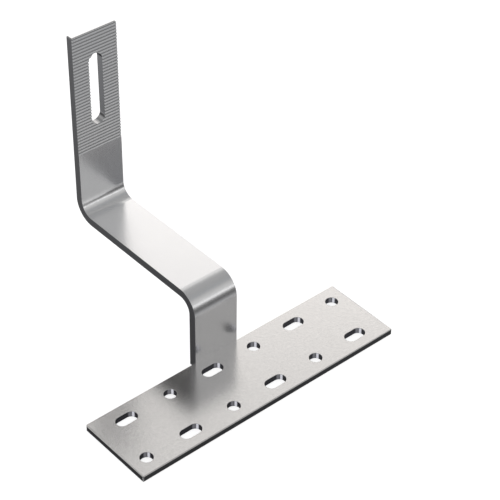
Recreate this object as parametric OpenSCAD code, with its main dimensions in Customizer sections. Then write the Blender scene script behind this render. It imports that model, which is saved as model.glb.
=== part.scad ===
// Roof hook for mounting solar rails above a tiled roof.
// A perforated base plate lies on the rafter. An arm bent from flat bar is
// welded to its rear edge, crosses over the lower tile and stands up again,
// where a ribbed, slotted head takes the rail's bolt.
//
// Millimetres. The origin is the middle of the plate's underside, +X runs
// along the plate, +Y points from the plate towards the upright, +Z up.

/* [Base plate] */
// Length of the base plate
plate_l = 180; // [120:1:300]
// Width of the base plate
plate_w = 50; // [44:1:80]
// Thickness of the base plate
plate_t = 4; // [3:0.5:8]
// Radius of the base plate's corners, seen from above
plate_corner_r = 1; // [0.5:0.5:5]
// Chamfer along the front edge and both ends of the base plate
plate_chamfer = 0.4; // [0.2:0.1:1]

/* [Screw holes and slots] */
// Diameter of a round screw hole
hole_d = 7.5; // [5:0.5:10]
// Width of a screw slot
slot_w = 7.5; // [5:0.5:10]
// Length of a screw slot over its round ends
slot_l = 13.5; // [11:0.5:15]
// Distance between neighbouring openings of a row
hole_pitch = 30; // [25:1:40]
// Distance from the end of the plate to the middle of a row's first hole
hole_end = 10.25; // [8:0.25:15]
// Distance from the long edge of the plate to the middle of a row
hole_edge = 10.25; // [8:0.25:14]

/* [Bent arm] */
// Width of the arm's flat bar
arm_w = 30; // [24:1:50]
// Thickness of the arm's flat bar
arm_t = 5; // [4:0.5:8]
// Radius of the flat bar's rolled edges
arm_edge_r = 0.5; // [0.2:0.1:1]
// Inside radius of both bends
bend_r = 8; // [4:0.5:12]
// Sideways place of the arm, from the middle of the plate
arm_x = 1; // [-40:1:40]
// Height of the crossbar's top face above the plate's underside
cross_h = 49.5; // [35:0.5:70]
// Distance from the plate's rear edge to the rear face of the upright
reach = 107; // [60:1:150]
// Height of the arm's top end above the plate's underside
arm_h = 166; // [150:1:200]
// Chamfer around the arm's top end
arm_chamfer = 0.6; // [0.2:0.1:0.8]

/* [Ribbed head] */
// Width of the clamping slot
clamp_w = 9; // [7:0.5:12]
// Length of the clamping slot over its round ends
clamp_l = 46; // [20:1:55]
// Distance from the arm's top end to the upper end of the clamping slot
clamp_top = 15; // [8:1:25]
// Length of the ribbed field, from the arm's top end down
rib_field = 76.5; // [66:0.5:90]
// Number of grooves in the ribbed field
rib_count = 38; // [28:1:44]
// Depth of a groove
rib_depth = 0.8; // [0.3:0.05:0.95]
// Angle between the two flanks of a groove
rib_angle = 90; // [60:1:95]

/* [Weld] */
// Width of the weld seam on the underside
weld_w = 4; // [2:0.5:6]
// Depth of the weld seam
weld_depth = 2.5; // [1:0.5:2.5]

/* [Hidden] */
$fn = 64;

// How far a cutter runs past the face that it cuts
cut = 0.1;

row_count = floor((plate_l - 2 * hole_end) / hole_pitch) + 1;

bend_outer_r = bend_r + arm_t;
bend_mid_r = bend_r + arm_t / 2;
foot_y = plate_w / 2;
upright_y = foot_y + reach - arm_t;
clamp_z = arm_h - clamp_top - clamp_l / 2;

rib_pitch = rib_field / rib_count;
// A groove's section, cut a little past the face, as half its width and its height
groove_half_w = (rib_depth + cut) * tan(rib_angle / 2);

steel = [0.78, 0.78, 0.77];
weld_metal = [0.66, 0.66, 0.66];

// Rectangle about the origin with round corners
module rounded_rectangle(length, width, radius) {
    square([length - 2 * radius, width], center = true);
    square([length, width - 2 * radius], center = true);
    for (x = [-1, 1], y = [-1, 1])
        translate([x * (length / 2 - radius), y * (width / 2 - radius)])
            circle(radius);
}

// Slot about the origin, along X, with round ends
module slot_outline(length, width) {
    square([length - width, width], center = true);
    for (x = [-1, 1])
        translate([x * (length - width) / 2, 0])
            circle(width / 2);
}

// One row of the plate's openings: a round hole, a slot, a round hole and so on
module opening_row() {
    for (i = [0 : row_count - 1])
        translate([hole_end + i * hole_pitch - plate_l / 2, hole_edge - plate_w / 2])
            if (i % 2 == 0)
                circle(hole_d / 2);
            else
                slot_outline(slot_l, slot_w);
}

// Outline of the plate from above. The rear row is the front row turned half round.
module plate_outline() {
    difference() {
        rounded_rectangle(plate_l, plate_w, plate_corner_r);
        opening_row();
        rotate(180)
            opening_row();
    }
}

// Side view of the plate: its front edge is chamfered and its rear edge is
// left square for the weld. The depth runs along Y and the height along Z.
module plate_side() {
    front = -plate_w / 2;
    rear = plate_w / 2;
    polygon([
        [front + plate_chamfer, 0],
        [rear, 0],
        [rear, plate_t],
        [front + plate_chamfer, plate_t],
        [front, plate_t - plate_chamfer],
        [front, plate_chamfer]
    ]);
}

// Front view of the plate, with both ends chamfered
module plate_front() {
    end = plate_l / 2;
    polygon([
        [plate_chamfer - end, 0],
        [end - plate_chamfer, 0],
        [end, plate_chamfer],
        [end, plate_t - plate_chamfer],
        [end - plate_chamfer, plate_t],
        [plate_chamfer - end, plate_t],
        [-end, plate_t - plate_chamfer],
        [-end, plate_chamfer]
    ]);
}

// Lifts a shape drawn as Y and Z into place and gives it a width along X
module along_x(middle, width) {
    translate([middle - width / 2, 0, 0])
        rotate([90, 0, 90])
            linear_extrude(width)
                children();
}

// V section of the weld between the plate's rear edge and the foot of the arm
module weld_section() {
    polygon([
        [foot_y - weld_w / 2, 0],
        [foot_y + weld_w / 2, 0],
        [foot_y, weld_depth]
    ]);
}

// Section of the flat bar, its width along X and its thickness along Y
module bar_section() {
    rounded_rectangle(arm_w, arm_t, arm_edge_r);
}

// Quarter turn of the flat bar about an axis along X. A turn of 90 joins a
// rising leg to a level one, and a turn of -90 joins a level leg to a rising one.
module bar_bend(turn) {
    rotate([turn, 0, -turn])
        rotate_extrude(angle = 90)
            translate([bend_mid_r, 0])
                rotate(90)
                    bar_section();
}

// The flat bar with both its bends, before the head is cut
module bent_bar() {
    translate([0, foot_y + arm_t / 2, 0])
        linear_extrude(cross_h - bend_outer_r)
            bar_section();
    translate([0, foot_y + bend_outer_r, cross_h - bend_outer_r])
        bar_bend(90);
    translate([0, foot_y + bend_outer_r, cross_h - arm_t / 2])
        rotate([-90, 0, 0])
            linear_extrude(reach - 2 * bend_outer_r)
                bar_section();
    translate([0, upright_y - bend_r, cross_h + bend_r])
        bar_bend(-90);
    translate([0, upright_y + arm_t / 2, cross_h + bend_r])
        linear_extrude(arm_h - cross_h - bend_r)
            bar_section();
}

// Sections of all grooves in the upright's front face
module groove_sections() {
    for (i = [0 : rib_count - 1])
        translate([upright_y, arm_h - (i + 0.5) * rib_pitch])
            polygon([[-cut, -groove_half_w], [rib_depth, 0], [-cut, groove_half_w]]);
}

// Wedges that chamfer the four edges of the arm's top end
module end_chamfers() {
    for (turn = [0, 180])
        translate([0, upright_y + arm_t / 2, arm_h])
            rotate(turn) {
                translate([0, -arm_t / 2, 0])
                    along_x(0, arm_w + 2 * cut)
                        chamfer_section();
                translate([-arm_w / 2, 0, 0])
                    rotate(-90)
                        along_x(0, arm_t + 2 * cut)
                            chamfer_section();
            }
}

// Section of a chamfer wedge: an edge at the origin, the material ahead of and below it
module chamfer_section() {
    polygon([
        [-cut, -arm_chamfer - cut],
        [arm_chamfer + cut, cut],
        [-cut, cut]
    ]);
}

// Clamping slot through the upright
module clamp_slot() {
    translate([0, upright_y + arm_t + cut, clamp_z])
        rotate([90, 0, 0])
            linear_extrude(arm_t + 2 * cut)
                rotate(90)
                    slot_outline(clamp_l, clamp_w);
}

// Perforated plate that is screwed to the rafter
module base_plate() {
    color(steel)
        difference() {
            intersection() {
                linear_extrude(plate_t)
                    plate_outline();
                along_x(0, plate_l)
                    plate_side();
                translate([0, plate_w / 2, 0])
                    rotate([90, 0, 0])
                        linear_extrude(plate_w)
                            plate_front();
            }
            along_x(arm_x, arm_w)
                weld_section();
        }
}

// Arm bent from flat bar, with its ribbed and slotted head
module hook_arm() {
    color(steel)
        difference() {
            translate([arm_x, 0, 0])
                bent_bar();
            along_x(arm_x, arm_w + 2 * cut)
                groove_sections();
            translate([arm_x, 0, 0]) {
                end_chamfers();
                clamp_slot();
            }
            along_x(arm_x, arm_w)
                weld_section();
        }
}

// Weld between plate and arm, ground flush with the underside
module weld_seam() {
    color(weld_metal)
        along_x(arm_x, arm_w)
            weld_section();
}

base_plate();
hook_arm();
weld_seam();
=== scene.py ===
# %% [markdown]
# # Dressing a stainless roof hook
# The CAD model already has the shape: a perforated plate, a flat bar bent into
# a step, and a ribbed head with a slot. What is left for Blender is what makes
# it read as steel: a grain that follows the rolling direction, dark cut edges
# beside bright ones, whose darkness is partly painted shade, grooves darkened
# with painted shade, edges as crisp as the real bar's, a weld with its
# ripples, and a studio whose light and dark areas the metal can mirror.

# %% Load the imported model as a fixed frame
import math

import bmesh
import bpy
from mathutils import Matrix, Vector


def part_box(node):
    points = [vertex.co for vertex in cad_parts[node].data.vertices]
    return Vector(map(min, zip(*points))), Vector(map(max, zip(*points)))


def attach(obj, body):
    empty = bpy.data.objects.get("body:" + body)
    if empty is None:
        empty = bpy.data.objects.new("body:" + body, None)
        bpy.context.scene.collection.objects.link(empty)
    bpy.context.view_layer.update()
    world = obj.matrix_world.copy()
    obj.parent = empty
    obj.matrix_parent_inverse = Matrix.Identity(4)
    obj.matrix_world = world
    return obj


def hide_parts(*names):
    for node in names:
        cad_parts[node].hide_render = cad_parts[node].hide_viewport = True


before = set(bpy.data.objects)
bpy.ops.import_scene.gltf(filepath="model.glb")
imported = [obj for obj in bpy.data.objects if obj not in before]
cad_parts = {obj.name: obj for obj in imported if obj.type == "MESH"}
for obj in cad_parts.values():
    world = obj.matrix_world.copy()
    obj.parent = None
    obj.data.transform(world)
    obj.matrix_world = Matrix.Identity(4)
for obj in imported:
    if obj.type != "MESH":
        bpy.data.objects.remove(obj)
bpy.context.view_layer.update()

MM = 0.001
scene = bpy.context.scene

# %% [markdown]
# ## Camera
# A product photo taken from far away has almost parallel lines. Copying that
# needs a long lens and a distant camera rather than a near camera that is
# zoomed. The place and the turn are given as numbers, so that nothing has to
# be aimed by hand: a turn about Z for the direction, a tilt about X for the
# height, and a small roll.

# %% Camera
CAMERA_PLACE = Vector((-459.59, -530.37, 660.92)) * MM
CAMERA_AZIMUTH = math.radians(-41.1154)
CAMERA_HEIGHT = math.radians(38.969)
CAMERA_ROLL = math.radians(0.7168)
LENS_MM = 124.836
SENSOR_MM = 36
NEAREST_SEEN = 50 * MM


def add_camera():
    data = bpy.data.cameras.new("camera")
    data.lens = LENS_MM
    data.sensor_width = SENSOR_MM
    data.clip_start = NEAREST_SEEN
    camera = bpy.data.objects.new("camera", data)
    scene.collection.objects.link(camera)
    camera.matrix_world = (
        Matrix.Translation(CAMERA_PLACE)
        @ Matrix.Rotation(CAMERA_AZIMUTH, 4, "Z")
        @ Matrix.Rotation(math.radians(90) - CAMERA_HEIGHT, 4, "X")
        @ Matrix.Rotation(CAMERA_ROLL, 4, "Z")
    )
    scene.camera = camera
    return camera


camera = add_camera()
scene.view_settings.view_transform = "Standard"
print("camera at", [round(c / MM) for c in camera.location], "mm, lens", LENS_MM)

# %% [markdown]
# ## Small helpers for node trees
# Every material and the world are built from nodes in code. Three helpers keep
# that readable: one adds a node and sets its inputs by name, one joins an
# output to an input, and one gives a colour ramp its stops.


# %% Node helpers
def add_node(tree, kind, inputs=None, **settings):
    node = tree.nodes.new(kind)
    for key, value in settings.items():
        setattr(node, key, value)
    for key, value in (inputs or {}).items():
        node.inputs[key].default_value = value
    return node


def join(tree, output, target):
    tree.links.new(output, target)


def set_ramp(ramp, stops):
    """Gives a colour ramp its stops: a list of (position, colour)."""
    elements = ramp.color_ramp.elements
    while len(elements) > 1:
        elements.remove(elements[-1])
    for number, (position, colour) in enumerate(stops):
        stop = elements[0] if number == 0 else elements.new(position)
        stop.position = position
        stop.color = (*colour, 1)


print("node helpers:", ", ".join(helper.__name__ for helper in (add_node, join, set_ramp)))

# %% [markdown]
# ## Room of light
# Satin metal has hardly a colour of its own to show, it mirrors the room. So
# the room is designed first, as rings of light by height: a dark belt at the
# horizon, pale rings above it and just below it, a dark ring under those, and
# a grey bottom that keeps undersides from turning black. Two soft patches,
# low at the front and at the left, catch rounded corners and the walls of
# holes. A third lights the back of the upright, and below it the room is
# dark, so the space under the crossbar reads as deep. A picture of a studio
# could do the same, but rings and patches can be changed one by one.

# %% Room of light
ROOM_RINGS = [
    (-90, (0.420, 0.420, 0.424)),
    (-70, (0.320, 0.320, 0.323)),
    (-60, (0.170, 0.170, 0.172)),
    (-54, (0.060, 0.060, 0.062)),
    (-50, (0.042, 0.042, 0.044)),
    (-44, (0.060, 0.060, 0.063)),
    (-40, (0.100, 0.101, 0.105)),
    (-36, (0.205, 0.207, 0.215)),
    (-32, (0.335, 0.338, 0.350)),
    (-27, (0.420, 0.422, 0.432)),
    (-20, (0.300, 0.300, 0.305)),
    (-11, (0.110, 0.110, 0.111)),
    (-5, (0.090, 0.090, 0.090)),
    (2, (0.160, 0.160, 0.160)),
    (10, (0.370, 0.370, 0.370)),
    (22, (0.595, 0.595, 0.595)),
    (32, (0.530, 0.530, 0.530)),
    (37, (0.510, 0.505, 0.500)),
    (41, (0.405, 0.405, 0.405)),
    (44, (0.343, 0.350, 0.358)),
    (48, (0.340, 0.350, 0.360)),
    (60, (0.340, 0.340, 0.340)),
    (90, (0.460, 0.460, 0.460)),
]
# Each patch: azimuth, height, outer and inner radius in degrees. Last comes the
# glow that a bright patch adds, or the part of the light that the dark one leaves.
BRIGHT_PATCHES = [(-163, -40, 22, 9, 2.0), (-104, -40, 24, 10, 0.42), (60, -6, 42, 12, 0.30)]
DARK_PATCH = (49, -46, 44, 24, 0.05)


def pointing(azimuth, height):
    """Unit vector for a direction in degrees, measured from +X and up from the floor."""
    around, up = math.radians(azimuth), math.radians(height)
    return Vector((math.cos(up) * math.cos(around), math.cos(up) * math.sin(around), math.sin(up)))


def height_position(angle):
    return (math.sin(math.radians(angle)) + 1) / 2


def patch_level(tree, direction, azimuth, height, outer, inner, outside, inside):
    """A number that goes from outside to inside within a round patch of the room."""
    middle = pointing(azimuth, height)
    toward = add_node(tree, "ShaderNodeVectorMath", {1: middle}, operation="DOT_PRODUCT")
    level = add_node(
        tree, "ShaderNodeMapRange",
        {"From Min": math.cos(math.radians(outer)), "From Max": math.cos(math.radians(inner)),
         "To Min": outside, "To Max": inside},
        interpolation_type="SMOOTHSTEP",
    )
    join(tree, direction, toward.inputs[0])
    join(tree, toward.outputs["Value"], level.inputs["Value"])
    return level.outputs[0]


def room_colour(tree):
    """The room's colour by direction: the rings, times the dark patch, plus the bright ones."""
    direction = add_node(tree, "ShaderNodeTexCoord").outputs["Generated"]
    parts = add_node(tree, "ShaderNodeSeparateXYZ")
    height = add_node(tree, "ShaderNodeMapRange", {"From Min": -1.0, "From Max": 1.0})
    rings = add_node(tree, "ShaderNodeValToRGB")
    set_ramp(rings, [(height_position(angle), colour) for angle, colour in ROOM_RINGS])
    join(tree, direction, parts.inputs[0])
    join(tree, parts.outputs["Z"], height.inputs["Value"])
    join(tree, height.outputs[0], rings.inputs[0])
    room = add_node(tree, "ShaderNodeVectorMath", operation="MULTIPLY")
    join(tree, rings.outputs[0], room.inputs[0])
    join(tree, patch_level(tree, direction, *DARK_PATCH[:4], 1.0, DARK_PATCH[4]), room.inputs[1])
    for *place_and_size, glow in BRIGHT_PATCHES:
        lit = add_node(tree, "ShaderNodeVectorMath", operation="ADD")
        join(tree, room.outputs[0], lit.inputs[0])
        join(tree, patch_level(tree, direction, *place_and_size, 0.0, glow), lit.inputs[1])
        room = lit
    return room.outputs[0]


print("room:", len(ROOM_RINGS), "rings of light and", len(BRIGHT_PATCHES) + 1, "patches")

# %% [markdown]
# ## World
# One world can serve three kinds of ray. A Light Path node tells them apart:
# a camera ray gets white paper, a mirrored ray gets the room, and every other
# ray gets a plain white fill light, so that the shadows stay soft and the
# colours true.

# %% World
FILL_LIGHT = 0.38
WHITE = (1, 1, 1, 1)


def add_world():
    world = bpy.data.worlds.new("studio")
    scene.world = world
    world.use_nodes = True
    tree = world.node_tree
    tree.nodes.clear()
    room = add_node(tree, "ShaderNodeBackground", {"Strength": 1.0})
    fill = add_node(tree, "ShaderNodeBackground", {"Color": WHITE, "Strength": FILL_LIGHT})
    paper = add_node(tree, "ShaderNodeBackground", {"Color": WHITE, "Strength": 1.0})
    rays = add_node(tree, "ShaderNodeLightPath")
    mirrored = add_node(tree, "ShaderNodeMixShader")
    seen = add_node(tree, "ShaderNodeMixShader")
    output = add_node(tree, "ShaderNodeOutputWorld")
    join(tree, room_colour(tree), room.inputs["Color"])
    join(tree, rays.outputs["Is Glossy Ray"], mirrored.inputs[0])
    join(tree, fill.outputs[0], mirrored.inputs[1])
    join(tree, room.outputs[0], mirrored.inputs[2])
    join(tree, rays.outputs["Is Camera Ray"], seen.inputs[0])
    join(tree, mirrored.outputs[0], seen.inputs[1])
    join(tree, paper.outputs[0], seen.inputs[2])
    join(tree, seen.outputs[0], output.inputs[0])
    print("world:", world.name, "with", len(tree.nodes), "nodes")


add_world()

# %% [markdown]
# ## Floor
# A pale sheet lies under the plate and catches its soft shadow. Camera rays
# get just enough added to lift the open sheet to paper white, so the shadow
# stays. The metal is meant to mirror the room and not the sheet, so the
# sheet is hidden from mirrored rays, as a retoucher would cut it away. Its
# back is clear, so the underside of the object can be looked at from below.

# %% Floor
FLOOR_HALF = 1.5
FLOOR_DROP = 0.02 * MM
PAPER_GREY = (0.8, 0.8, 0.8, 1)
PAPER_ROUGHNESS = 0.9
PAPER_LIFT = 0.80


def floor_material():
    material = bpy.data.materials.new("pale_sheet")
    material.use_nodes = True
    tree = material.node_tree
    sheet = tree.nodes["Principled BSDF"]
    sheet.inputs["Base Color"].default_value = PAPER_GREY
    sheet.inputs["Roughness"].default_value = PAPER_ROUGHNESS
    sheet.inputs["Specular IOR Level"].default_value = 0.0
    rays = add_node(tree, "ShaderNodeLightPath")
    lift = add_node(tree, "ShaderNodeMath", {1: PAPER_LIFT}, operation="MULTIPLY")
    white = add_node(tree, "ShaderNodeEmission", {"Color": WHITE})
    lifted = add_node(tree, "ShaderNodeAddShader")
    join(tree, rays.outputs["Is Camera Ray"], lift.inputs[0])
    join(tree, lift.outputs[0], white.inputs["Strength"])
    join(tree, sheet.outputs[0], lifted.inputs[0])
    join(tree, white.outputs[0], lifted.inputs[1])
    side = add_node(tree, "ShaderNodeNewGeometry")
    clear = add_node(tree, "ShaderNodeBsdfTransparent")
    one_sided = add_node(tree, "ShaderNodeMixShader")
    join(tree, side.outputs["Backfacing"], one_sided.inputs[0])
    join(tree, lifted.outputs[0], one_sided.inputs[1])
    join(tree, clear.outputs[0], one_sided.inputs[2])
    join(tree, one_sided.outputs[0], tree.nodes["Material Output"].inputs["Surface"])
    return material


def add_floor():
    sheet = bmesh.new()
    bmesh.ops.create_grid(sheet, x_segments=1, y_segments=1, size=FLOOR_HALF)
    bmesh.ops.translate(sheet, verts=sheet.verts, vec=(0, 0, -FLOOR_DROP))
    mesh = bpy.data.meshes.new("floor")
    sheet.to_mesh(mesh)
    sheet.free()
    mesh.materials.append(floor_material())
    floor = bpy.data.objects.new("floor", mesh)
    scene.collection.objects.link(floor)
    floor.visible_glossy = False
    floor.visible_shadow = False


add_floor()
print("floor:", round(2 * FLOOR_HALF, 1), "m square")

# %% [markdown]
# ## Softboxes
# Three lamps are enough. Two wide ones stand behind the object, one above the
# other, and brighten every face that looks up. A low strip stands at the
# front right and draws the light band along the outside of a bend. A lamp is
# described by the direction it comes from and by how bright its face looks,
# and the watts follow from its area.

# %% Softboxes
# Lengths in metres, azimuth and height in degrees
LIT_POINT = Vector((0, 0.04, 0.05))
LAMP_DISTANCE = 3.0
SOFTBOXES = {
    "back_softbox": dict(
        azimuth=52, height=26.5, width=4.4, tall=1.45, glow=0.69, colour=(1, 0.962, 0.932),
    ),
    "back_edge": dict(
        azimuth=48, height=47, width=4.0, tall=0.73, glow=0.40, colour=(1, 0.965, 0.93),
    ),
    "front_strip": dict(
        azimuth=-56, height=14, width=2.8, tall=0.42, glow=0.68, colour=(1, 1, 1),
    ),
}


def add_softbox(name, azimuth, height, width, tall, glow, colour):
    away = pointing(azimuth, height)
    data = bpy.data.lights.new(name, "AREA")
    data.shape = "RECTANGLE"
    data.size = width
    data.size_y = tall
    data.energy = glow * math.pi * width * tall
    data.color = colour
    lamp = bpy.data.objects.new(name, data)
    scene.collection.objects.link(lamp)
    lamp.location = LIT_POINT + away * LAMP_DISTANCE
    lamp.rotation_euler = away.to_track_quat("Z", "Y").to_euler()
    print(name, round(data.energy, 2), "W")


for name, values in SOFTBOXES.items():
    add_softbox(name, **values)

# %% [markdown]
# ## Shared finish: rolled grain
# Cold-rolled stainless has fine parallel streaks along the rolling
# direction, and a faint cloudiness. Noise that is stretched along one axis
# gives the streaks. A node group makes the effect once, with the stretch as
# an input, so the plate can have its grain along X and the bar along its
# length.


# %% Rolled grain group
def new_group(name, inputs, outputs):
    group = bpy.data.node_groups.new(name, "ShaderNodeTree")
    for socket, kind, value in inputs:
        made = group.interface.new_socket(socket, in_out="INPUT", socket_type=kind)
        made.default_value = value
    for socket, kind in outputs:
        group.interface.new_socket(socket, in_out="OUTPUT", socket_type=kind)
    return group, group.nodes.new("NodeGroupInput"), group.nodes.new("NodeGroupOutput")


def rolled_grain_group():
    group, given, result = new_group(
        "rolled_grain",
        [
            ("Stretch", "NodeSocketVector", (1.0, 1.0, 1.0)),
            ("Streak", "NodeSocketFloat", 1.0),
            ("Cloud", "NodeSocketFloat", 1.0),
        ],
        [("Streaks", "NodeSocketFloat"), ("Clouds", "NodeSocketFloat")],
    )
    place = add_node(group, "ShaderNodeTexCoord")
    stretched = add_node(group, "ShaderNodeVectorMath", operation="MULTIPLY")
    streaks = add_node(group, "ShaderNodeTexNoise", {"Scale": 1.0, "Detail": 3.0, "Roughness": 0.6})
    clouds = add_node(group, "ShaderNodeTexNoise", {"Scale": 45.0, "Detail": 4.0, "Roughness": 0.55})
    streak_out = add_node(group, "ShaderNodeMath", operation="MULTIPLY")
    cloud_out = add_node(group, "ShaderNodeMath", operation="MULTIPLY")
    streak_mid = add_node(group, "ShaderNodeMath", {1: 0.5}, operation="SUBTRACT")
    cloud_mid = add_node(group, "ShaderNodeMath", {1: 0.5}, operation="SUBTRACT")
    join(group, place.outputs["Object"], stretched.inputs[0])
    join(group, given.outputs["Stretch"], stretched.inputs[1])
    join(group, stretched.outputs[0], streaks.inputs["Vector"])
    join(group, place.outputs["Object"], clouds.inputs["Vector"])
    join(group, streaks.outputs["Fac"], streak_mid.inputs[0])
    join(group, clouds.outputs["Fac"], cloud_mid.inputs[0])
    join(group, streak_mid.outputs[0], streak_out.inputs[0])
    join(group, given.outputs["Streak"], streak_out.inputs[1])
    join(group, cloud_mid.outputs[0], cloud_out.inputs[0])
    join(group, given.outputs["Cloud"], cloud_out.inputs[1])
    join(group, streak_out.outputs[0], result.inputs["Streaks"])
    join(group, cloud_out.outputs[0], result.inputs["Clouds"])
    return group


ROLLED_GRAIN = rolled_grain_group()
print("group", ROLLED_GRAIN.name, "with", len(ROLLED_GRAIN.nodes), "nodes")

# %% [markdown]
# ## Shared finish: which face is it?
# The wide faces of sheet and bar are bright from the mill, the narrow faces
# are sheared, and the walls of holes are punched smooth. Both kinds of cut face
# are darker, partly because their finish is duller and partly as painted shade.
# Painting such areas by hand isn't needed: the normal tells which way a face
# looks, and the position tells whether it lies on the outline or inside it.
# Two small groups put that out as masks.


# %% Mask groups
# Cosine of the angle between normal and axis where the mask is 0, and where it is 1
FACING_NONE, FACING_ALL = 0.3, 0.6


def facing_group():
    group, given, result = new_group(
        "facing", [("Axis", "NodeSocketVector", (0.0, 0.0, 1.0))], [("Mask", "NodeSocketFloat")],
    )
    place = add_node(group, "ShaderNodeTexCoord")
    along = add_node(group, "ShaderNodeVectorMath", operation="DOT_PRODUCT")
    size = add_node(group, "ShaderNodeMath", operation="ABSOLUTE")
    mask = add_node(
        group, "ShaderNodeMapRange", {"From Min": FACING_NONE, "From Max": FACING_ALL},
        interpolation_type="SMOOTHSTEP",
    )
    join(group, place.outputs["Normal"], along.inputs[0])
    join(group, given.outputs["Axis"], along.inputs[1])
    join(group, along.outputs["Value"], size.inputs[0])
    join(group, size.outputs[0], mask.inputs["Value"])
    join(group, mask.outputs[0], result.inputs["Mask"])
    return group


def inside_box_group():
    group, given, result = new_group(
        "inside_box",
        [
            ("Middle", "NodeSocketVector", (0.0, 0.0, 0.0)),
            ("Half Size", "NodeSocketVector", (1.0, 1.0, 1.0)),
        ],
        [("Mask", "NodeSocketFloat")],
    )
    place = add_node(group, "ShaderNodeTexCoord")
    away = add_node(group, "ShaderNodeVectorMath", operation="SUBTRACT")
    size = add_node(group, "ShaderNodeVectorMath", operation="ABSOLUTE")
    past = add_node(group, "ShaderNodeVectorMath", operation="SUBTRACT")
    parts = add_node(group, "ShaderNodeSeparateXYZ")
    wider = add_node(group, "ShaderNodeMath", operation="MAXIMUM")
    widest = add_node(group, "ShaderNodeMath", operation="MAXIMUM")
    inside = add_node(group, "ShaderNodeMath", {1: 0.0}, operation="LESS_THAN")
    join(group, place.outputs["Object"], away.inputs[0])
    join(group, given.outputs["Middle"], away.inputs[1])
    join(group, away.outputs[0], size.inputs[0])
    join(group, size.outputs[0], past.inputs[0])
    join(group, given.outputs["Half Size"], past.inputs[1])
    join(group, past.outputs[0], parts.inputs[0])
    join(group, parts.outputs["X"], wider.inputs[0])
    join(group, parts.outputs["Y"], wider.inputs[1])
    join(group, wider.outputs[0], widest.inputs[0])
    join(group, parts.outputs["Z"], widest.inputs[1])
    join(group, widest.outputs[0], inside.inputs[0])
    join(group, inside.outputs[0], result.inputs["Mask"])
    return group


FACING = facing_group()
INSIDE_BOX = inside_box_group()
print("mask groups:", FACING.name, "and", INSIDE_BOX.name)

# %% [markdown]
# ## Helpers for finishes
# The steels and the weld share a few small steps: feed a value or another
# node into an input, blend two finishes by a mask, and let the grain move a
# level. Written once, they keep each material short enough to read as a
# recipe.


# %% Helpers for finishes
def feed(tree, value, target):
    """Joins another node's output to an input, or writes a plain number or colour into it."""
    if hasattr(value, "is_output"):
        join(tree, value, target)
    else:
        target.default_value = (*value, 1) if target.type == "RGBA" else value


def masked_mix(tree, mask, first, second, kind):
    """A colour or number that is first where the mask is 0 and second where it is 1."""
    mix = add_node(tree, "ShaderNodeMix", data_type=kind)
    socket_type = "RGBA" if kind == "RGBA" else "VALUE"
    ends = [socket for socket in mix.inputs if socket.name in ("A", "B") and socket.type == socket_type]
    join(tree, mask, mix.inputs[0])
    feed(tree, first, ends[0])
    feed(tree, second, ends[1])
    return [socket for socket in mix.outputs if socket.type == socket_type][0]


def grain_node(tree, stretch, streak, cloud):
    inputs = {"Stretch": stretch, "Streak": streak, "Cloud": cloud}
    return add_node(tree, "ShaderNodeGroup", inputs, node_tree=ROLLED_GRAIN)


def with_grain(tree, level, stretch, streak, cloud):
    """A level, given as a socket or a number, moved up and down by the rolled grain."""
    grain = grain_node(tree, stretch, streak, cloud)
    streaked = add_node(tree, "ShaderNodeMath", operation="ADD")
    clouded = add_node(tree, "ShaderNodeMath", operation="ADD")
    feed(tree, level, streaked.inputs[0])
    join(tree, grain.outputs["Streaks"], streaked.inputs[1])
    join(tree, streaked.outputs[0], clouded.inputs[0])
    join(tree, grain.outputs["Clouds"], clouded.inputs[1])
    return clouded.outputs[0]


def inverted(tree, mask):
    flip = add_node(tree, "ShaderNodeMath", {0: 1.0}, operation="SUBTRACT")
    join(tree, mask, flip.inputs[1])
    return flip.outputs[0]


def facing(tree, axis):
    return add_node(tree, "ShaderNodeGroup", {"Axis": axis}, node_tree=FACING).outputs["Mask"]


def inside_box(tree, middle, half_size):
    inputs = {"Middle": middle, "Half Size": half_size}
    return add_node(tree, "ShaderNodeGroup", inputs, node_tree=INSIDE_BOX).outputs["Mask"]


FINISH_HELPERS = (feed, masked_mix, grain_node, with_grain, inverted, facing, inside_box)
print("finish helpers:", ", ".join(helper.__name__ for helper in FINISH_HELPERS))

# %% [markdown]
# ## Steel
# Both steels share one build: three finishes, bright, sheared and punched,
# chosen by two masks. The sheared and punched colours are darker than the
# bright one, partly because their finish is duller and partly as painted shade.
# Colour and roughness follow the same masks, and the grain moves the roughness
# a little, so the streaks only show in the edges of reflections, as on real
# satin sheet. A shear drags the steel along with it, so the narrow faces get a
# shallow bump of fine upright marks, from noise that is stretched along Z. On
# the wide faces the same noise gives the fine sparkle of a satin finish, both
# as bump and as colour.

# %% Steel
SHEARED_ROUGHNESS, PUNCHED_ROUGHNESS = 0.30, 0.18
GRAIN_STREAK, GRAIN_CLOUD = 0.06, 0.03
MARK_STRETCH = (900, 900, 120)
MARK_DEPTH = 0.10 * MM
BRIGHT_MARKS, SHEARED_MARKS, PUNCHED_MARKS = 0.30, 0.30, 0.0


def metal(name):
    """A new material with its tree and its shader, set to metal."""
    material = bpy.data.materials.new(name)
    material.use_nodes = True
    shader = material.node_tree.nodes["Principled BSDF"]
    shader.inputs["Metallic"].default_value = 1.0
    return material, material.node_tree, shader


def sparkling(tree, marks, colour, sparkle):
    """The colour, a little darker and lighter from mark to mark."""
    speckles = add_node(tree, "ShaderNodeMath", {1: 0.5}, operation="ADD")
    join(tree, marks, speckles.inputs[0])
    darker = [level * (1 - sparkle) for level in colour]
    lighter = [level * (1 + sparkle) for level in colour]
    return masked_mix(tree, speckles.outputs[0], darker, lighter, "RGBA")


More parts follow.
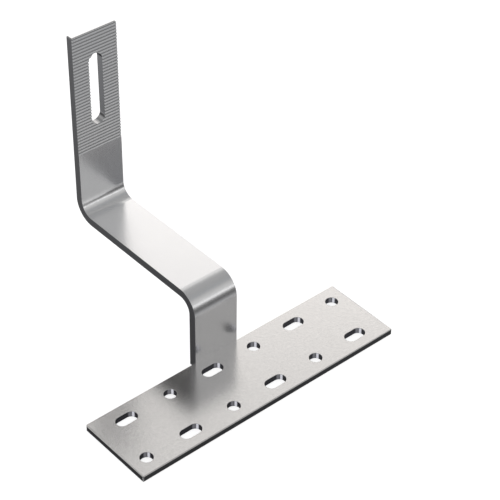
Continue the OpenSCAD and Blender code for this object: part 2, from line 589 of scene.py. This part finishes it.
def steel(name, bright, sheared_and_shade, punched_and_shade, roughness, grain_stretch, sparkle, narrow_mask, inner_mask):
    """Builds a steel. Its bright finish and its two masks are made by the functions given."""
    material, tree, shader = metal(name)
    marks = grain_node(tree, MARK_STRETCH, 1.0, 0.0).outputs["Streaks"]
    narrow = narrow_mask(tree)
    inner = inner_mask(tree)
    wide_colour = bright(tree, marks, sparkle)
    # The cut faces' colours come partly from their duller finish and partly from painted shade
    edge_colour_and_shade = masked_mix(tree, inner, sheared_and_shade, punched_and_shade, "RGBA")
    join(tree, masked_mix(tree, narrow, wide_colour, edge_colour_and_shade, "RGBA"), shader.inputs["Base Color"])
    edge_roughness = masked_mix(tree, inner, SHEARED_ROUGHNESS, PUNCHED_ROUGHNESS, "FLOAT")
    level = masked_mix(tree, narrow, roughness, edge_roughness, "FLOAT")
    satin = with_grain(tree, level, grain_stretch, GRAIN_STREAK, GRAIN_CLOUD)
    join(tree, satin, shader.inputs["Roughness"])
    bump = add_node(tree, "ShaderNodeBump", {"Distance": MARK_DEPTH})
    edge_marks = masked_mix(tree, inner, SHEARED_MARKS, PUNCHED_MARKS, "FLOAT")
    join(tree, masked_mix(tree, narrow, BRIGHT_MARKS, edge_marks, "FLOAT"), bump.inputs["Strength"])
    join(tree, marks, bump.inputs["Height"])
    join(tree, bump.outputs[0], shader.inputs["Normal"])
    return material


MARK_SIZES = [round(1 / frequency / MM, 1) for frequency in MARK_STRETCH]
print("fine marks: about", MARK_SIZES, "mm along X, Y and Z")

# %% [markdown]
# ## Plate steel
# The plate is sheet, so its wide faces are the ones that look up or down. A
# narrow face near the outline was sheared, and one further inside belongs to
# a punched hole. A box that is slightly smaller than the plate tells the two
# apart without selecting any face.

# %% Plate steel
PLATE_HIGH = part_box("base_plate")[1]
PLATE_BRIGHT = (0.818, 0.804, 0.792)
# Colours of the plate's cut faces: partly a duller finish, partly painted shade
SHEARED_AND_PAINTED_SHADE = (0.22, 0.22, 0.225)
PUNCHED_AND_PAINTED_SHADE = (0.30, 0.30, 0.325)
SHEARED_BAND = 2 * MM
# Half size, in metres, of a box along an axis on which it has to hold the whole part
PAST_THE_PART = 1.0


def plate_bright(tree, marks, sparkle):
    return sparkling(tree, marks, PLATE_BRIGHT, sparkle)


def plate_narrow_mask(tree):
    return inverted(tree, facing(tree, (0, 0, 1)))


def plate_inner_mask(tree):
    half_size = (PLATE_HIGH.x - SHEARED_BAND, PLATE_HIGH.y - SHEARED_BAND, PAST_THE_PART)
    return inside_box(tree, (0, 0, 0), half_size)


PLATE_STEEL = steel(
    "plate_steel", plate_bright, SHEARED_AND_PAINTED_SHADE, PUNCHED_AND_PAINTED_SHADE, roughness=0.21, grain_stretch=(700, 2500, 2500),
    sparkle=0.11, narrow_mask=plate_narrow_mask, inner_mask=plate_inner_mask,
)
print("steel:", PLATE_STEEL.name, "with", len(PLATE_STEEL.node_tree.nodes), "nodes")

# %% [markdown]
# ## Slot walls
# The bar runs up, across and up again, so only its two narrow faces always
# look along X. The walls of the slot look other ways too. A box round the
# slot finds them: what lies inside it and doesn't look to the front or the
# back is a wall. Choosing the faces one by one would do as well, but it would
# have to be done again after every change to the mesh.

# %% Slot walls
ARM_LOW, ARM_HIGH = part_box("hook_arm")
ARM_X = (ARM_LOW.x + ARM_HIGH.x) / 2
BAR_THICK = 5 * MM
INNER_HALF_WIDTH = 10 * MM
CLAMP_WIDTH, CLAMP_LENGTH, CLAMP_TOP = 9 * MM, 46 * MM, 15 * MM
CLAMP_Z = ARM_HIGH.z - CLAMP_TOP - CLAMP_LENGTH / 2
CLAMP_MIDDLE = Vector((ARM_X, ARM_HIGH.y - BAR_THICK / 2, CLAMP_Z))
# How far the box reaches past the slot
CLAMP_REACH = Vector((0.2, 0.5, 0.2)) * MM
CLAMP_HALF = Vector((CLAMP_WIDTH, BAR_THICK, CLAMP_LENGTH)) / 2 + CLAMP_REACH


def product(tree, first, second):
    times = add_node(tree, "ShaderNodeMath", operation="MULTIPLY")
    join(tree, first, times.inputs[0])
    join(tree, second, times.inputs[1])
    return times.outputs[0]


def bar_narrow_mask(tree):
    """1 on the bar's two narrow faces and on all walls of the slot."""
    slot = inside_box(tree, CLAMP_MIDDLE, CLAMP_HALF)
    wall = inverted(tree, facing(tree, (0, 1, 0)))
    either = add_node(tree, "ShaderNodeMath", operation="MAXIMUM")
    join(tree, product(tree, slot, wall), either.inputs[0])
    join(tree, facing(tree, (1, 0, 0)), either.inputs[1])
    return either.outputs[0]


def bar_inner_mask(tree):
    return inside_box(tree, (ARM_X, 0, 0), (INNER_HALF_WIDTH, PAST_THE_PART, PAST_THE_PART))


print("box round the slot, in mm:", [round(2 * size / MM, 1) for size in CLAMP_HALF])

# %% [markdown]
# ## Painted shade in the grooves
# The grooves were pressed into the front of the head. Deep in each groove the
# colour is darkened as painted shade, while the crests between them stay
# bright. A third mask reads how far a point lies below that front face, so it
# follows every groove without a picture that would have to be wrapped onto
# the head.

# %% Painted groove shade
# Painted shade deep in the grooves, fading in between two depths below the front face
GROOVE_PAINTED_SHADE = (0.40, 0.40, 0.405)
GROOVE_FADE_FROM, GROOVE_FADE_TO = 0.34 * MM, 0.58 * MM
FRONT_Y = ARM_HIGH.y - BAR_THICK
# The mask reaches into the bar, past the groove floors, and starts just under the lowest groove
FRONT_REACH = 1 * MM
RIB_FIELD = 76.5 * MM
UNDER_THE_RIBS = 0.5 * MM
MASK_FROM_Z = ARM_HIGH.z - RIB_FIELD - UNDER_THE_RIBS


def groove_shade_mask(tree):
    """1 deep in the grooves of the head, where the painted shade goes, and 0 on their crests."""
    place = add_node(tree, "ShaderNodeTexCoord")
    parts = add_node(tree, "ShaderNodeSeparateXYZ")
    fade = {"From Min": FRONT_Y + GROOVE_FADE_FROM, "From Max": FRONT_Y + GROOVE_FADE_TO}
    deep = add_node(tree, "ShaderNodeMapRange", fade, interpolation_type="SMOOTHSTEP")
    front = add_node(tree, "ShaderNodeMath", {1: FRONT_Y + FRONT_REACH}, operation="LESS_THAN")
    head = add_node(tree, "ShaderNodeMath", {1: MASK_FROM_Z}, operation="GREATER_THAN")
    join(tree, place.outputs["Object"], parts.inputs[0])
    join(tree, parts.outputs["Y"], deep.inputs["Value"])
    join(tree, parts.outputs["Y"], front.inputs[0])
    join(tree, parts.outputs["Z"], head.inputs[0])
    return product(tree, product(tree, deep.outputs[0], front.outputs[0]), head.outputs[0])


print("groove mask starts", round(MASK_FROM_Z / MM, 1), "mm above the underside")

# %% [markdown]
# ## Bar steel
# The bar is built like the plate, from its own colours and its own masks. Its
# grain has to follow the bar round both bends. Noise that changes fast along
# X and slowly along Y and Z does that everywhere, so the bar needs no
# unwrapped surface.

# %% Bar steel
BAR_BRIGHT = (0.90, 0.90, 0.905)
# Colours of the bar's cut faces: partly a duller finish, partly painted shade
SHEARED_BAR_AND_PAINTED_SHADE = (0.33, 0.33, 0.335)
PUNCHED_BAR_AND_PAINTED_SHADE = (0.50, 0.50, 0.505)


def bar_bright(tree, marks, sparkle):
    crests = sparkling(tree, marks, BAR_BRIGHT, sparkle)
    # Painted shade deep in the grooves, over the bright crests
    return masked_mix(tree, groove_shade_mask(tree), crests, GROOVE_PAINTED_SHADE, "RGBA")


BAR_STEEL = steel(
    "bar_steel", bar_bright, SHEARED_BAR_AND_PAINTED_SHADE, PUNCHED_BAR_AND_PAINTED_SHADE, roughness=0.24, grain_stretch=(2500, 700, 700),
    sparkle=0.06, narrow_mask=bar_narrow_mask, inner_mask=bar_inner_mask,
)
print("steel:", BAR_STEEL.name, "with", len(BAR_STEEL.node_tree.nodes), "nodes")

# %% [markdown]
# ## Pieces on the frame
# The last steps are the same for every finished piece. A bmesh is only a
# workbench, so its shape is written into a mesh. The piece gets its material,
# rides on the body that it belongs to, and hides the imported nodes it stands
# in for. Two helpers do that in one place, so no piece can miss a step.


# %% Pieces on the frame
def new_mesh(name, shape):
    mesh = bpy.data.meshes.new(name)
    shape.to_mesh(mesh)
    shape.free()
    return mesh


def finished_piece(name, mesh, material, slot, *nodes):
    """Makes the piece's object, sets it on the frame and hides the imported nodes it stands for."""
    mesh.materials.clear()
    mesh.materials.append(material)
    piece = bpy.data.objects.new(name, mesh)
    scene.collection.objects.link(piece)
    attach(piece, "root")
    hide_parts(*nodes)
    return piece


print("packed nodes:", ", ".join(sorted(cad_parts)))

# %% [markdown]
# ## Perforated plate
# A punch never leaves a knife edge: the sheet is drawn in a little round each
# hole, and tumbling rounds the rest. Those tiny rounds are what catch a thin
# line of light. Modelling the plate again would risk its sizes, so a copy of
# the CAD node is taken instead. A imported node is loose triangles, so the copy
# is merged, its flat areas are joined into single faces, and then only the
# sharp edges get a small bevel.

# %% Plate with broken edges
MERGE_WITHIN = 0.002 * MM
FLAT_WITHIN = math.radians(0.5)
SHARP_FROM = math.radians(28)
SMOOTH_BELOW = math.radians(15)
PLATE_EDGE = 0.16 * MM
REAR_BAND = 2.1 * MM


def merged_copy(node_name):
    shape = bmesh.new()
    shape.from_mesh(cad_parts[node_name].data)
    bmesh.ops.remove_doubles(shape, verts=shape.verts, dist=MERGE_WITHIN)
    bmesh.ops.dissolve_limit(shape, angle_limit=FLAT_WITHIN, verts=shape.verts, edges=shape.edges)
    return shape


def at_rear_edge(edge):
    """True for an edge of the plate that the arm butts against, where a round would leave a gap."""
    return all(vert.co.y > PLATE_HIGH.y - REAR_BAND for vert in edge.verts)


def break_edges(shape, width, segments):
    """Bevels the sharp edges, then lets only the new rounds and the hole walls shade smoothly."""
    sharp = [
        edge for edge in shape.edges
        if edge.is_manifold and edge.calc_face_angle() > SHARP_FROM and not at_rear_edge(edge)
    ]
    made = bmesh.ops.bevel(
        shape, geom=sharp, offset=width, offset_type="OFFSET", segments=segments, profile=0.5,
        affect="EDGES", clamp_overlap=False, material=-1,
    )
    rounds = set(made["faces"])
    for face in shape.faces:
        face.smooth = True
    for edge in shape.edges:
        count = sum(face in rounds for face in edge.link_faces)
        in_a_curve = edge.is_manifold and edge.calc_face_angle() < SMOOTH_BELOW
        edge.smooth = count == 2 or (count == 0 and in_a_curve)
    return len(sharp)


plate_shape = merged_copy("base_plate")
plate_sharp = break_edges(plate_shape, PLATE_EDGE, segments=2)
plate_mesh = new_mesh("plate_broken_edges", plate_shape)
plate = finished_piece("plate_broken_edges", plate_mesh, PLATE_STEEL, "stainless_plate", "base_plate")
print("plate:", plate_sharp, "sharp edges bevelled,", len(plate.data.polygons), "faces")

# %% [markdown]
# ## Bent arm
# The real bar's edges are nearly sharp, and the teeth of the head stand out
# along its side. The CAD bar is rounder there, which hides them. Modelling
# the arm again would risk the shading of its bends, so a copy of the node
# keeps every face, and only points on the rounded edges move, out to a
# smaller radius. Every groove, bend and weld face runs along X, so a point
# that moves only along X stays on its face, and all of them stay flat.

# %% Arm with crisp edges
BAR_HALF_WIDTH = (ARM_HIGH.x - ARM_LOW.x) / 2
BEND_INSIDE = 8 * MM
CROSSBAR_TOP = 49.5 * MM
CAD_ROUND = 0.5 * MM
CRISP_ROUND = 0.15 * MM
END_CHAMFER = 0.6 * MM
# How far a point may be off a round to count as lying on it, as a part of the radius
ON_ROUND = 0.02
# Axes of the two bends, which run along X
LOWER_AXIS = Vector((0, ARM_LOW.y + BAR_THICK + BEND_INSIDE, CROSSBAR_TOP - BAR_THICK - BEND_INSIDE))
UPPER_AXIS = Vector((0, ARM_HIGH.y - BAR_THICK - BEND_INSIDE, CROSSBAR_TOP + BEND_INSIDE))


def below_surface(point):
    """Depth of a point of the arm below the nearer of the bar's two wide faces."""
    if point.y < (LOWER_AXIS.y + UPPER_AXIS.y) / 2:
        axis = Vector((point.x, max(point.y, LOWER_AXIS.y), min(point.z, LOWER_AXIS.z)))
    else:
        axis = Vector((point.x, min(point.y, UPPER_AXIS.y), max(point.z, UPPER_AXIS.z)))
    from_middle = (point - axis).length - BEND_INSIDE - BAR_THICK / 2
    return BAR_THICK / 2 - abs(from_middle)


def crisp_place(point):
    """Where a point of the arm goes. Points on rounded edges move, except at the chamfered end."""
    place = point.copy()
    depth = below_surface(point)
    side = point.x - ARM_X
    side_part = 1 - (BAR_HALF_WIDTH - abs(side)) / CAD_ROUND
    face_part = 1 - depth / CAD_ROUND
    in_corner = min(side_part, face_part) > -ON_ROUND
    on_round = in_corner and abs(math.hypot(side_part, face_part) - 1) < ON_ROUND
    if on_round and point.z < ARM_HIGH.z - END_CHAMFER:
        rise = min(max(CRISP_ROUND - depth, 0), CRISP_ROUND)
        inset = CRISP_ROUND - math.sqrt(CRISP_ROUND ** 2 - rise ** 2)
        place.x = ARM_X + math.copysign(BAR_HALF_WIDTH - inset, side)
    return place


arm_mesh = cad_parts["hook_arm"].data.copy()
arm_mesh.name = "arm_crisp_edges"
places = [crisp_place(vertex.co) for vertex in arm_mesh.vertices]
arm_moved = sum(place != vertex.co for place, vertex in zip(places, arm_mesh.vertices))
for vertex, place in zip(arm_mesh.vertices, places):
    vertex.co = place
finished_piece("arm_crisp_edges", arm_mesh, BAR_STEEL, "stainless_bar", "hook_arm")
print("arm:", arm_moved, "of", len(places), "points moved")

# %% [markdown]
# ## Weld bead
# The plate and the arm are joined by one seam in a V on the underside. A real
# bead is laid drop by drop, and each drop freezes as a shallow scale. A bump
# map could fake that, but the scales also show along the bead's outline, so
# they are modelled: the V section is drawn once as a ring of edges, and the
# ring is extruded along X in short steps, with its lower points raised a
# little between two scales. The bead was ground flush, so it never comes out
# below the plate, and only the valleys between the scales are left.

# %% Weld bead
WELD_LOW, WELD_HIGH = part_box("weld_seam")
WELD_MIDDLE = (WELD_LOW.y + WELD_HIGH.y) / 2
WELD_WIDTH = WELD_HIGH.y - WELD_LOW.y
WELD_LENGTH = WELD_HIGH.x - WELD_LOW.x
# Points of the bead's lower face between its two edges, as parts of its width
WELD_POINTS = (0.12, 0.5, 0.88)
WELD_STEP = 0.25 * MM
SCALE_LENGTH = 1.5 * MM
SCALE_DEPTH = 0.14 * MM
# How far a scale bows, as a part of its length, and how much shallower it is at the bead's sides
SCALE_BOW, SCALE_FADE = 0.6, 0.6


def weld_ring(shape):
    """The V section at the bead's left end, as a closed ring of edges."""
    points = [(WELD_LOW.y, 0.0), (WELD_MIDDLE, WELD_HIGH.z), (WELD_HIGH.y, 0.0)]
    points += [(WELD_HIGH.y - WELD_WIDTH * part, 0.0) for part in WELD_POINTS]
    corners = [shape.verts.new((WELD_LOW.x, y, z)) for y, z in points]
    return [shape.edges.new((corners[i - 1], corners[i])) for i in range(len(corners))]


def weld_bead():
    shape = bmesh.new()
    ring = weld_ring(shape)
    steps = round(WELD_LENGTH / WELD_STEP)
    for _ in range(steps):
        made = bmesh.ops.extrude_edge_only(shape, edges=ring)["geom"]
        fresh = [item for item in made if isinstance(item, bmesh.types.BMVert)]
        edges = [item for item in made if isinstance(item, bmesh.types.BMEdge)]
        ring = [edge for edge in edges if all(vert in fresh for vert in edge.verts)]
        bmesh.ops.translate(shape, verts=fresh, vec=(WELD_LENGTH / steps, 0, 0))
    return shape


def press_scales(shape):
    """Raises the lower points between two scales, most in the middle of the bead."""
    for vert in shape.verts:
        if vert.co.z < WELD_HIGH.z / 2:
            across = (vert.co.y - WELD_MIDDLE) / (WELD_WIDTH / 2)
            bow = vert.co.x + SCALE_BOW * SCALE_LENGTH * across ** 2
            wave = 1 - abs(math.sin(math.pi * bow / SCALE_LENGTH))
            vert.co.z = SCALE_DEPTH * wave * (1 - SCALE_FADE * abs(across))


weld_shape = weld_bead()
press_scales(weld_shape)
open_edges = [edge for edge in weld_shape.edges if edge.is_boundary]
bmesh.ops.holes_fill(weld_shape, edges=open_edges, sides=0)
bmesh.ops.recalc_face_normals(weld_shape, faces=weld_shape.faces)
print("weld bead closed:", all(edge.is_manifold for edge in weld_shape.edges))

# %% [markdown]
# ## Weld metal
# The bead's metal was molten, so it has no rolled grain. It is duller than the
# bar, with a faint straw tint in places, which a soft noise spreads. The same
# grain group serves here too: with an equal stretch along all three axes it
# gives grains instead of streaks.

# %% Weld metal
WELD_GREY = (0.80, 0.80, 0.80)
WELD_STRAW = (0.80, 0.75, 0.68)
WELD_ROUGHNESS = 0.42
WELD_STRETCH = (900, 900, 900)
WELD_STREAK, WELD_CLOUD = 0.2, 0.1


def weld_steel():
    material, tree, shader = metal("weld_steel")
    dull = with_grain(tree, WELD_ROUGHNESS, WELD_STRETCH, WELD_STREAK, WELD_CLOUD)
    join(tree, dull, shader.inputs["Roughness"])
    place = add_node(tree, "ShaderNodeTexCoord")
    spots = add_node(tree, "ShaderNodeTexNoise", {"Scale": 260.0, "Detail": 2.0})
    join(tree, place.outputs["Object"], spots.inputs["Vector"])
    tint = masked_mix(tree, spots.outputs["Fac"], WELD_GREY, WELD_STRAW, "RGBA")
    join(tree, tint, shader.inputs["Base Color"])
    return material


weld_mesh = new_mesh("weld_bead", weld_shape)
weld = finished_piece("weld_bead", weld_mesh, weld_steel(), "weld_metal", "weld_seam")
print("weld bead:", len(weld.data.polygons), "faces")
